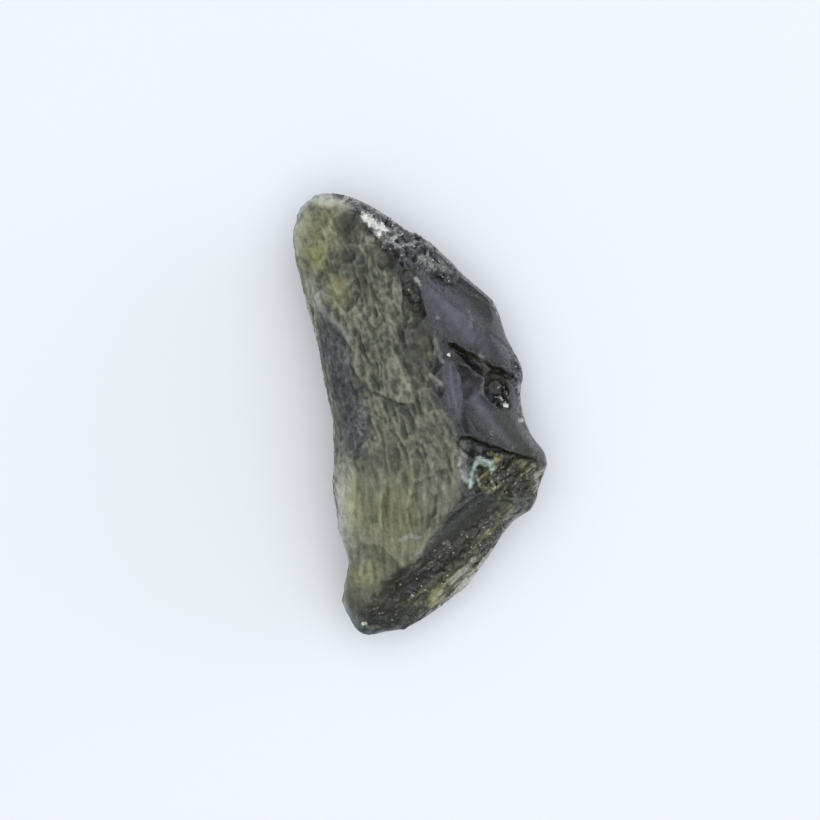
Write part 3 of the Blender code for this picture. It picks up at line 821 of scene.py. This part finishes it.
fresh = streak_share(points, CHIPS_AND_HIGHLIGHTS) * eased(-0.1, 0.3, normals[:, 2])
rough = places_share(points, RUBBLE) * eased(-0.1, 0.4, normals[:, 2]) * np.maximum(broken, 0.25)
in_north = eased(-1.0, 1.0, points[:, 1])
here = rough > 0.01
flakes = bowls_at(points[here], FLAKE_LEAN, FLAKE_SIZE, 61.0, 1.0)
depth[here] += (rough * (1.0 - in_north))[here] * FLAKE_DEPTH * (flakes - PIT_FLOOR)
grain_share = (rough * (1.0 - 0.7 * fresh) * (0.45 + 0.55 * in_north))[here]
for size, share in RUBBLE_SIZES:
    depth[here] += grain_share * share * rubble_at(points[here], size, 71.0)
depth += fresh * CHIP_DEPTH * (1.0 - rubble_at(points, CHIP_GRAIN, 81.0) * 2.0)
print("deepest", round(float(depth.max()), 3), "highest", round(float(-depth.min()), 3))
off_table = eased(0.0, SPARED_HEIGHT, points[:, 2])
on_table = points[:, 2] < TABLE_GAP
points = points - normals * (depth * off_table)[:, None]
points[:, 2] = np.where(on_table, 0.0, np.maximum(points[:, 2], 0.0))
put_points(stone.data, points)

# %% [markdown]
# ## Thin the faces where nothing shows, and return to metres
#
# The grid is finer than needed on smooth breaks and on the underside. Decimate joins faces there.
# It can leave a loose speck, two faces back to back. Each point of a speck has fewer faces than a
# point of a closed surface needs, and so have all its neighbours, so specks are found by that. Then
# the stone is fitted exactly to the box of the solid again, which smoothing had shrunk a little.

# %% Thin and fit
TRIANGLES = 197000
UNDER_WEIGHT, SEEN_WEIGHT = 1.0, 0.45
FEWEST_FACES_AT_A_POINT = 3

group = stone.vertex_groups.new(name="thin")
under = points_of(stone.data, "normal")[:, 2] < -0.3
group.add(np.nonzero(under)[0].tolist(), UNDER_WEIGHT, "REPLACE")
group.add(np.nonzero(~under)[0].tolist(), SEEN_WEIGHT, "REPLACE")
stone.data.calc_loop_triangles()
thin = stone.modifiers.new("thin", "DECIMATE")
thin.ratio = TRIANGLES / len(stone.data.loop_triangles)
thin.vertex_group = group.name
baked(stone)
stone.vertex_groups.clear()
bm = bmesh.new()
bm.from_mesh(stone.data)
few = {v for v in bm.verts if len(v.link_faces) < FEWEST_FACES_AT_A_POINT}
specks = [v for v in few if all(end in few for face in v.link_faces for end in face.verts)]
bmesh.ops.delete(bm, geom=specks, context="VERTS")
bm.to_mesh(stone.data)
bm.free()
print("loose points removed:", len(specks))
points = points_of(stone.data)
now_low, now_high = points.min(0), points.max(0)
points = low + (points - now_low) * (high - low) / (now_high - now_low)
put_points(stone.data, points)
stone.data.calc_loop_triangles()
print("triangles", len(stone.data.loop_triangles), "box was", now_low.round(2), now_high.round(2))

# %% [markdown]
# ## What each point knows about itself
#
# The glass is painted pale where it is thin, as light comes through it, and darker where it is deep,
# and painted shade sits in the hollows. The mesh can tell: rays shot inwards and straight through
# measure the thickness, and a smoothed copy of the surface lies above a point in a hollow and below it
# on a ridge. These are stored on the points with the named places, and the materials read them.

# %% Thickness, hollows and places as point attributes
PALE_THICKNESS = 2.4
RIM_THICKNESS = 1.1
FIRST_STEP_IN = 0.42
RELIEF_ROUNDS = 22
CALM_ROUNDS = 40
RELIEF_RANGE = 0.11
RAY_SPREAD, RAY_REACH = 0.45, 12.0
SHARP_EDGE = math.radians(42)


def store(mesh, name, values):
    attribute = mesh.attributes.new(name, "FLOAT", "POINT")
    attribute.data.foreach_set("value", np.ascontiguousarray(values, np.float32))
    print(name, "mean", round(float(values.mean()), 3), "spread", round(float(values.std()), 3))


def relaxed(mesh, values, rounds):
    """Values on the points, averaged with their neighbours' again and again."""
    edges = np.empty(len(mesh.edges) * 2, np.int32)
    mesh.edges.foreach_get("vertices", edges)
    a, b = edges.reshape(-1, 2).T
    here, there = np.concatenate([a, b]), np.concatenate([b, a])
    count = np.bincount(here, minlength=len(values))
    for _ in range(rounds):
        columns = [np.bincount(here, values[there, i], len(values)) / count for i in range(values.shape[1])]
        values = (values + np.stack(columns, 1)) / 2
    return values


def thickness_along(points, ways):
    """How much glass lies behind each point along its own way."""
    found = np.empty(len(points))
    for i, (p, way) in enumerate(zip(points, ways)):
        way = Vector(way).normalized()
        hit = solid_bvh.ray_cast(Vector(p) + way * FIRST_STEP_IN, way, RAY_REACH)
        found[i] = hit[3] + FIRST_STEP_IN if hit[0] else 0.0
    return found


normals = points_of(stone.data, "normal")
calm = relaxed(stone.data, normals, CALM_ROUNDS)
calm /= np.linalg.norm(calm, axis=1)[:, None]
tilts = RAY_SPREAD * np.array([(0, 0, 0), (1, 0, 0), (-1, 0, 0), (0, 1, 0), (0, -1, 0)])
thickness = np.mean([thickness_along(points, tilt - calm) for tilt in tilts], 0)
upright = np.zeros_like(normals)
upright[:, 2] = -np.sign(calm[:, 2] + 1e-6)
through = np.minimum(thickness, thickness_along(points, upright))
relief = ((points - relaxed(stone.data, points, RELIEF_ROUNDS)) * normals).sum(1)
top_side = eased(-0.2, 0.2, calm[:, 2])
rim_side = eased(0.02, 0.42, calm[:, 2])
# pale and rim lead to painted light through thin glass, and hollow to painted shade in the hollows.
for name, values in {
        "pale": np.exp(-thickness / PALE_THICKNESS),
        "rim": np.exp(-through / RIM_THICKNESS) * rim_side,
        "hollow": np.clip(0.5 - relief / RELIEF_RANGE, 0.0, 1.0),
        "broken": broken_share(points, normals),
        "fresh": streak_share(points, CHIPS_AND_HIGHLIGHTS) * top_side}.items():
    store(stone.data, name, values)
# Each: the places, how soft their edges are, and where on the stone they can show
for name, (places, softness, side) in {
        "rubble": (RUBBLE, 0.3, top_side),
        "yellow": (YELLOW_GLOWS, 0.85, top_side),
        "amber": (AMBER_GLOWS, 0.85, top_side),
        "dark": (DARK_GLASS_AND_SHADE, 0.5, top_side),
        "pale_rim": (LIT_THIN_RIMS, 0.85, rim_side),
        "flank": (FLANK_SHADE, 0.6, eased(-0.3, 0.3, calm[:, 2])),
        "sheen": (PAINTED_SHEENS, 0.22, 1.0)}.items():
    store(stone.data, name, places_share(points, places, softness) * side)

bm = bmesh.new()
bm.from_mesh(stone.data)
bmesh.ops.scale(bm, verts=bm.verts, vec=(MM,) * 3)
bm.to_mesh(stone.data)
bm.free()
stone.data.shade_smooth()
stone.data.set_sharp_from_angle(angle=SHARP_EDGE)

# %% [markdown]
# ## Glass and skin
#
# The body is clear dark glass: a surface that bends light, and inside it an olive green that
# swallows light with depth. Over it lie three finishes: the frosted skin, the crumbled glass of the
# rubble, and a satin haze on the smooth breaks, whose lilac is a painted reflection of the low
# light. Each is a Principled shader, and the attributes on the points say where each one shows. All
# of them read the same few patterns, which are made first.

# %% The patterns that every finish reads
RIM_TURN, RIM_STRETCH = math.radians(-47), (0.26, 1.7, 0.6)
WRINKLE_STRETCH = (0.24, 1.0, 0.5)
FLOW_TURN, FLOW_STRETCH = math.radians(3), (0.24, 1.6, 0.5)
FLOW_SOUTH_OF, WRINKLES_NORTH_OF = -4.0, -1.0

material, start = new_material("moldavite_glass")
place = start.node("ShaderNodeTexCoord", out="Object")
in_mm = start.node("ShaderNodeVectorMath", {"operation": "SCALE"}, {0: place, "Scale": 1 / MM})


def attribute(name):
    return start.node("ShaderNodeAttribute", {"attribute_name": name}, out="Fac")


def speckle(scale, detail=3.0, roughness=0.55):
    """Noise on the stone: scale is in blobs a millimetre."""
    sockets = {"Vector": in_mm, "Scale": scale, "Detail": detail, "Roughness": roughness}
    return start.node("ShaderNodeTexNoise", None, sockets)


def flecks(scale, size):
    """Small round dots: 1 inside them. size is their width beside their spacing."""
    sockets = {"Vector": in_mm, "Scale": scale}
    return 1 - start.node("ShaderNodeTexVoronoi", None, sockets, out="Distance").stretched(size * 0.6, size)


def drawn_out(turn, stretch, detail):
    """Noise that is drawn out into streaks."""
    sockets = {"Vector": in_mm, "Rotation": (0.0, 0.0, turn), "Scale": stretch}
    along = start.node("ShaderNodeMapping", {"vector_type": "TEXTURE"}, sockets)
    return start.node("ShaderNodeTexNoise", None, {"Vector": along, "Scale": 1.0, "Detail": detail})


pale, rim, hollow, broken = map(attribute, ("pale", "rim", "hollow", "broken"))
rubble, fresh, yellow, amber = map(attribute, ("rubble", "fresh", "yellow", "amber"))
dark, pale_rim, flank, sheen = map(attribute, ("dark", "pale_rim", "flank", "sheen"))
eastward = in_mm.axis("X")
northward = in_mm.axis("Y")
blotch = speckle(0.45)
grain = speckle(5.0, 4.0)
clump = speckle(1.7, 3.0)
fine = speckle(18.0, 2.0)
mottle = grain.stretched(0.3, 0.7)
clumps = clump.stretched(0.36, 0.64)
streaky = drawn_out(RIM_TURN, RIM_STRETCH, 4.0)
streaked = streaky.stretched(0.38, 0.62)
wrinkled = drawn_out(PIT_LEAN_WEST, WRINKLE_STRETCH, 3.0)
flowing = drawn_out(FLOW_TURN, FLOW_STRETCH, 3.0)
skin_streaks = flowing + (wrinkled - flowing) * northward.stretched(FLOW_SOUTH_OF, WRINKLES_NORTH_OF)
print("patterns take", len(material.node_tree.nodes), "nodes")

# %% [markdown]
# The skin's colour follows its height: nearly black in the pits, where the hollows add painted
# shade, and pale olive on the ridges between them. Painted shade makes the west flank bluer and
# darker and darkens the named dark spots. Thin edges are painted pale with the light that comes
# through them, and teal at the south tip. The named spots have a painted yellow or amber glow, and
# the chips a painted white highlight.

# %% The skin's colour
SKIN_COLOURS = [(0.0, (0.036, 0.039, 0.032)), (0.3, (0.084, 0.09, 0.07)), (0.55, (0.16, 0.168, 0.118)),
                (0.8, (0.24, 0.25, 0.178)), (1.0, (0.35, 0.362, 0.265))]
FLANK_SHADE_COLOURS = [(0.0, (0.011, 0.014, 0.021)), (0.35, (0.032, 0.039, 0.05)),
                 (0.65, (0.071, 0.083, 0.099)), (1.0, (0.19, 0.2, 0.2))]
LIT_EDGE_COLOURS = [(0.0, (0.12, 0.135, 0.105)), (0.35, (0.34, 0.36, 0.28)), (0.65, (0.58, 0.61, 0.52)),
                (1.0, (0.72, 0.75, 0.67))]
SKIN_YELLOW_GLOW, SKIN_AMBER_GLOW, SKIN_SHADE = (0.37, 0.355, 0.13), (0.25, 0.2, 0.06), (0.03, 0.032, 0.028)
COOL_LIT_EDGE_LOW, COOL_LIT_EDGE_HIGH = (0.2, 0.26, 0.29), (0.44, 0.52, 0.55)
SHADED_FLANK_EDGE_LOW, SHADED_FLANK_EDGE_HIGH = (0.045, 0.07, 0.09), (0.23, 0.31, 0.36)
EDGE_YELLOW_GLOW, TIP_TEAL = (0.44, 0.44, 0.23), (0.15, 0.21, 0.24)
INNER_GLOW, HIGHLIGHT_ON_SKIN = (0.46, 0.45, 0.19), (0.86, 0.9, 0.86)
TEAL_SOUTH_OF, TEAL_ENDS_AT = -14.0, -11.8


def ramp(stops, height):
    return start.node("ShaderNodeValToRGB", {"ramp": stops}, {0: height})


def over(share, below, above):
    """Lays one colour over another by a share."""
    return share.tint(below, above)


# Painted shade: the hollows lower this height, so the skin's colour turns nearly black in the pits.
height = 0.82 - hollow * 0.66 + (skin_streaks - 0.5) * 0.85 + (grain - 0.5) * 0.6 + (blotch - 0.5) * 1.0
height = height + (clump - 0.5) * 0.5 + (fine - 0.5) * 0.4
flank_height = height + (grain - 0.5) * 0.5
# Painted shade: darker, bluer colours on the west flank.
skin_colour = over(flank * 0.85, ramp(SKIN_COLOURS, height.clamped()),
                   ramp(FLANK_SHADE_COLOURS, flank_height.clamped()))
# Painted glow: yellow and amber where light comes through the glass.
skin_colour = over(yellow * (0.35 + 0.65 * mottle) * 0.8, skin_colour, SKIN_YELLOW_GLOW)
skin_colour = over(amber * (0.4 + 0.6 * mottle), skin_colour, SKIN_AMBER_GLOW)
# Painted shade at the named dark spots of the skin.
skin_colour = over(dark * (0.5 + 0.5 * clumps), skin_colour, SKIN_SHADE)

# Painted light: thin edges and the named rims are coloured pale, as light comes through them; the thinnest
# are bluish.
lit_thin_edge = (rim.stretched(0.16, 0.55) + pale_rim * 0.9) * (0.55 + 0.25 * mottle + 0.3 * clumps)
lit_thin_edge = lit_thin_edge.clamped()
edge_height = height + (grain - 0.5) * 0.4 + 0.26
lit_edge_colour = over(rim.stretched(0.3, 0.7) * 0.85, ramp(LIT_EDGE_COLOURS, edge_height.clamped()),
                   edge_height.tint(COOL_LIT_EDGE_LOW, COOL_LIT_EDGE_HIGH))
# Painted yellow glow on the thin edges too.
lit_edge_colour = over(yellow * (0.3 + 0.7 * mottle) * 0.75, lit_edge_colour, EDGE_YELLOW_GLOW)
lit_edge_colour = over(northward.stretched(TEAL_SOUTH_OF, TEAL_ENDS_AT), TIP_TEAL, lit_edge_colour)
# Painted shade and a bluish painted edge highlight on the flank's thin edges.
lit_edge_colour = over(flank * 0.75, lit_edge_colour, height.tint(SHADED_FLANK_EDGE_LOW, SHADED_FLANK_EDGE_HIGH))
skin_colour = over(lit_thin_edge, skin_colour, lit_edge_colour)
# A painted inner glow, yellow, away from the thinnest rims.
inner_glow = yellow * (1 - rim.stretched(0.2, 0.5)) * (0.2 + 0.8 * skin_streaks.stretched(0.35, 0.65))
skin_colour = over(inner_glow * 0.3, skin_colour, INNER_GLOW)
# Painted highlights on the chips, nearly white on the skin.
skin_colour = over(fresh, skin_colour, HIGHLIGHT_ON_SKIN)
print("skin's colour brings it to", len(material.node_tree.nodes), "nodes")

# %% [markdown]
# The crumbled glass is lilac grey in the north and olive in the south, in streaks that follow the
# slope, with painted shade in its hollows and dark places, a painted glow in yellow or amber, and
# painted light in streaks along the thin rims. Its fresh chips carry painted highlights, nearly white
# in the north, mint in the elbow hollow and straw in the south, and single grains get painted glints.

# %% The rubble's colour
LILAC_RUBBLE = [(0.0, (0.016, 0.017, 0.019)), (0.45, (0.058, 0.06, 0.068)), (0.75, (0.15, 0.155, 0.165)),
                (1.0, (0.38, 0.39, 0.41))]
OLIVE_RUBBLE = [(0.0, (0.008, 0.01, 0.006)), (0.45, (0.036, 0.039, 0.016)), (0.75, (0.12, 0.117, 0.048)),
                (1.0, (0.46, 0.45, 0.33))]
RUBBLE_YELLOW_GLOW, RUBBLE_AMBER_GLOW = (0.34, 0.325, 0.125), (0.19, 0.14, 0.05)
RUBBLE_DARK_AND_SHADE, LIT_STREAK_TEAL = (0.011, 0.012, 0.01), (0.12, 0.19, 0.23)
LIT_STREAK_DULL, LIT_STREAK_BRIGHT = (0.42, 0.41, 0.29), (0.68, 0.69, 0.64)
BAND_HIGHLIGHT, MINT_HIGHLIGHT = (0.47, 0.45, 0.43), (0.56, 0.69, 0.62)
STRAW_HIGHLIGHT, WHITE_HIGHLIGHT = (0.74, 0.73, 0.61), (0.93, 0.93, 0.83)

# Painted glints: single grains of the rubble are coloured nearly white.
glints = flecks(3.3, 0.21) * rubble.stretched(0.1, 0.4) * speckle(1.3, 1.0).stretched(0.46, 0.56)
northern = northward.stretched(-2.0, 1.5)
# Painted shade: the hollows darken the rubble too.
rubble_height = 0.72 - hollow * 0.75 + (clump - 0.5) * 0.9 + (streaky - 0.5) * 2.6 + (grain - 0.5) * 0.7
rubble_height = rubble_height.clamped()
rubble_colour = over(northern, ramp(OLIVE_RUBBLE, rubble_height), ramp(LILAC_RUBBLE, rubble_height))
# Painted glow in yellow and amber on the rubble, in streaks.
rubble_colour = over((yellow * (0.15 + streaked)).clamped(), rubble_colour, RUBBLE_YELLOW_GLOW)
rubble_colour = over((amber * streaked).clamped(), rubble_colour, RUBBLE_AMBER_GLOW)
# Dark glass and painted shade at the named dark spots.
rubble_colour = over((dark * (1.25 - 0.5 * mottle)).clamped(), rubble_colour, RUBBLE_DARK_AND_SHADE)
# Painted light along the thin rims of the rubble, in streaks, teal at the tip.
lit_rim_streaks = (lit_thin_edge * (0.15 + 0.85 * streaked) * (1 - dark * 0.85)).clamped()
lit_streak_colour = over(northward.stretched(-14.0, -13.0), LIT_STREAK_TEAL, mottle.tint(LIT_STREAK_DULL, LIT_STREAK_BRIGHT))
rubble_colour = over(lit_rim_streaks, rubble_colour, lit_streak_colour)
# The colours of the chips' painted highlights: grey in the band, mint in the elbow hollow, straw in the
# south, white in the north.
hollow_chip_highlights = eastward.stretched(2.9, 3.3).tint(BAND_HIGHLIGHT, MINT_HIGHLIGHT)
south_chip_highlights = over(northward.stretched(-7.5, -6.0), STRAW_HIGHLIGHT, hollow_chip_highlights)
chip_highlight_colour = over(northern, south_chip_highlights, WHITE_HIGHLIGHT)
rubble_colour = over((fresh + glints).clamped(), rubble_colour, chip_highlight_colour)
print("rubble's colour brings it to", len(material.node_tree.nodes), "nodes")

# %% [markdown]
# Last, the four finishes are laid over each other. A break is clear glass with some haze on it,
# whose colour is a painted reflection, and more where a painted sheen is named. Crumbled glass
# covers it where there is rubble, and an opaque chip with a painted highlight where the fracture is
# freshest. The skin covers all of it west of the crest.

# %% The finishes and how they mix
ABSORB_COLOUR = (0.6, 0.61, 0.34)
ABSORB_PER_METRE = 560.0
GLASS_IOR = 1.49
CLEAR, RUBBLE_TRANSMISSION, SKIN_TRANSMISSION, OPAQUE = 1.0, 0.35, 0.25, 0.0
GLASS_DEEP, GLASS_THIN, GLASS_DARK_AND_SHADE = (0.7, 0.74, 0.66), (0.96, 0.98, 0.93), (0.2, 0.2, 0.2)
REFLECTION_HAZE_LOW, REFLECTION_HAZE_HIGH, OLIVE_REFLECTION_HAZE = (0.066, 0.068, 0.09), (0.105, 0.108, 0.143), (0.056, 0.061, 0.036)
REFLECTION_HAZE_SHARE, PAINTED_SHEEN_SHARE = 0.14, 0.38


def bump(strength, distance, height):
    sockets = {"Strength": strength, "Distance": distance, "Height": height}
    return start.node("ShaderNodeBump", None, sockets)


def finish(colour, roughness, transmission, relief):
    return start.node("ShaderNodeBsdfPrincipled", None, {
        "Base Color": colour, "Roughness": roughness, "IOR": GLASS_IOR,
        "Transmission Weight": transmission, "Normal": relief})


def mixed(share, below, above):
    return start.node("ShaderNodeMixShader", None, {0: share, 1: below, 2: above})


rough_bump = bump(0.45, 0.00005, fine + grain * 1.5)
soft_bump = bump(0.15, 0.00004, fine)
skin = finish(skin_colour, 0.46 + grain * 0.25, SKIN_TRANSMISSION, rough_bump)
rubbly = finish(rubble_colour, 0.12 + grain * 0.28, RUBBLE_TRANSMISSION, rough_bump)
# Painted light and shade in the glass: paler where it is thin and more light comes through, darker at the
# dark glass and painted shade.
glass_colour = over(dark, pale.tint(GLASS_DEEP, GLASS_THIN), GLASS_DARK_AND_SHADE)
glass = finish(glass_colour, 0.22 + grain * 0.12, CLEAR, soft_bump)
# Where the chips' painted highlights are strongest, the opaque finish shows instead of the glass.
chip_highlights = fresh.stretched(0.66, 0.9) * (0.7 + 0.2 * mottle)
# Painted reflection: the haze is lilac grey in the north and olive in the south.
reflection_haze_colour = over(northern * 0.85 + 0.15, OLIVE_REFLECTION_HAZE, clumps.tint(REFLECTION_HAZE_LOW, REFLECTION_HAZE_HIGH))
reflection_haze = finish(over(chip_highlights, reflection_haze_colour, chip_highlight_colour), 0.3 + grain * 0.2, OPAQUE, soft_bump)
# A painted sheen: more of the lilac haze where a sheen is named, none on the dark spots.
face = mixed(((REFLECTION_HAZE_SHARE + sheen * PAINTED_SHEEN_SHARE) * (1 - dark)).clamped(), glass, reflection_haze)
crumbled = rubble * (0.2 + 0.8 * clumps) + fresh + glints + lit_rim_streaks * 0.8
crumbled = (crumbled + (yellow + amber) * streaked * 0.9).clamped()
break_surface = mixed(chip_highlights, mixed(crumbled, face, rubbly), reflection_haze)
surface = mixed(broken, skin, break_surface)
inside = start.node("ShaderNodeVolumeAbsorption", None, {"Color": ABSORB_COLOUR, "Density": ABSORB_PER_METRE})
start.node("ShaderNodeOutputMaterial", None, {"Surface": surface, "Volume": inside})
stone.data.materials.clear()
stone.data.materials.append(material)
print("material has", len(material.node_tree.nodes), "nodes")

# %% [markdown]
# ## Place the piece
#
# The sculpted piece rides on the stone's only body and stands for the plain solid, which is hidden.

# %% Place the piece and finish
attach(stone, "root")
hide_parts("moldavite")
